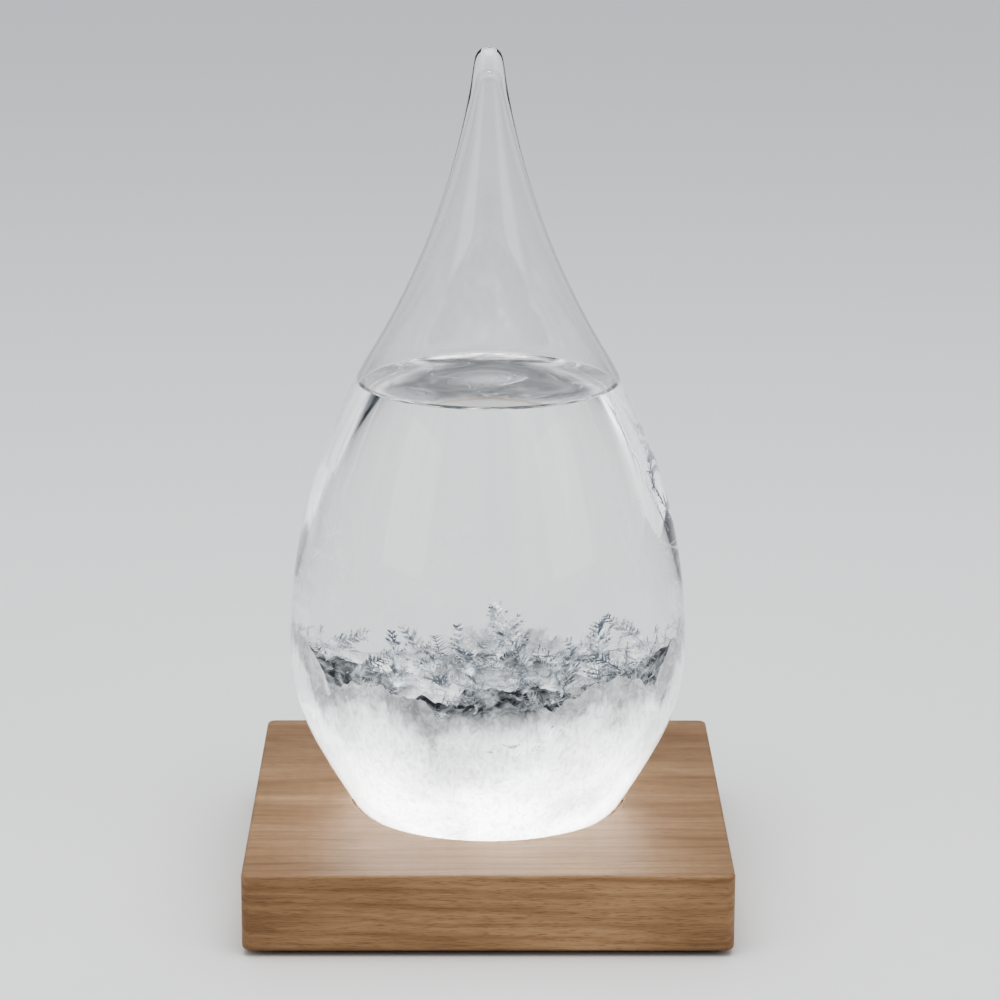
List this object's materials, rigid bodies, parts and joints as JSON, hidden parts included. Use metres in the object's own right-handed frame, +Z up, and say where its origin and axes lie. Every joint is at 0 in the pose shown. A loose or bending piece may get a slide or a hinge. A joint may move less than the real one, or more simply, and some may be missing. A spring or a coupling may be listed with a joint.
{
  "type": "galileo thermometer",
  "caption": "Sealed drop-shaped storm glass with clear liquid and white feathery crystals, standing loose in a shallow pocket of a square wooden base.",
  "frame": {"origin": "on the table, under the middle of the square base", "axes": "+Z up through the drop's tip, +X to the right and +Y to the back, along the base's sides"},
  "size_m": [0.137, 0.137, 0.2444],
  "materials": {
    "beech": "satin",
    "felt": "matte",
    "clear_glass": "gloss",
    "clear_liquid": "gloss",
    "crystals": "matte",
    "silicone": "matte",
    "sealant": "satin"
  },
  "bodies": {
    "base": {"base_block": "beech", "foot_pad_1": "felt", "foot_pad_2": "felt", "foot_pad_3": "felt", "foot_pad_4": "felt"},
    "drop": {"glass_drop": "clear_glass", "fill_stopper": "silicone", "stopper_seal": "sealant", "crystal_bed": "crystals", "crystal_drift_left": "crystals", "crystal_drift_right": "crystals", "crystal_drift_front": "crystals", "crystal_drift_back": "crystals", "crystal_mound_centre": "crystals", "crystal_feather_01": "crystals", "crystal_feather_02": "crystals", "crystal_feather_03": "crystals", "crystal_feather_04": "crystals", "crystal_feather_05": "crystals", "crystal_feather_06": "crystals", "crystal_feather_07": "crystals", "crystal_feather_08": "crystals", "crystal_feather_09": "crystals", "crystal_feather_10": "crystals", "crystal_feather_11": "crystals", "crystal_feather_12": "crystals", "storm_liquid": "clear_liquid"}
  },
  "joints": [
    {"name": "drop_lift", "type": "slide", "parent": "base", "child": "drop", "axis": [0, 0, 1], "range_m": [0, 0.05]}
  ]
}
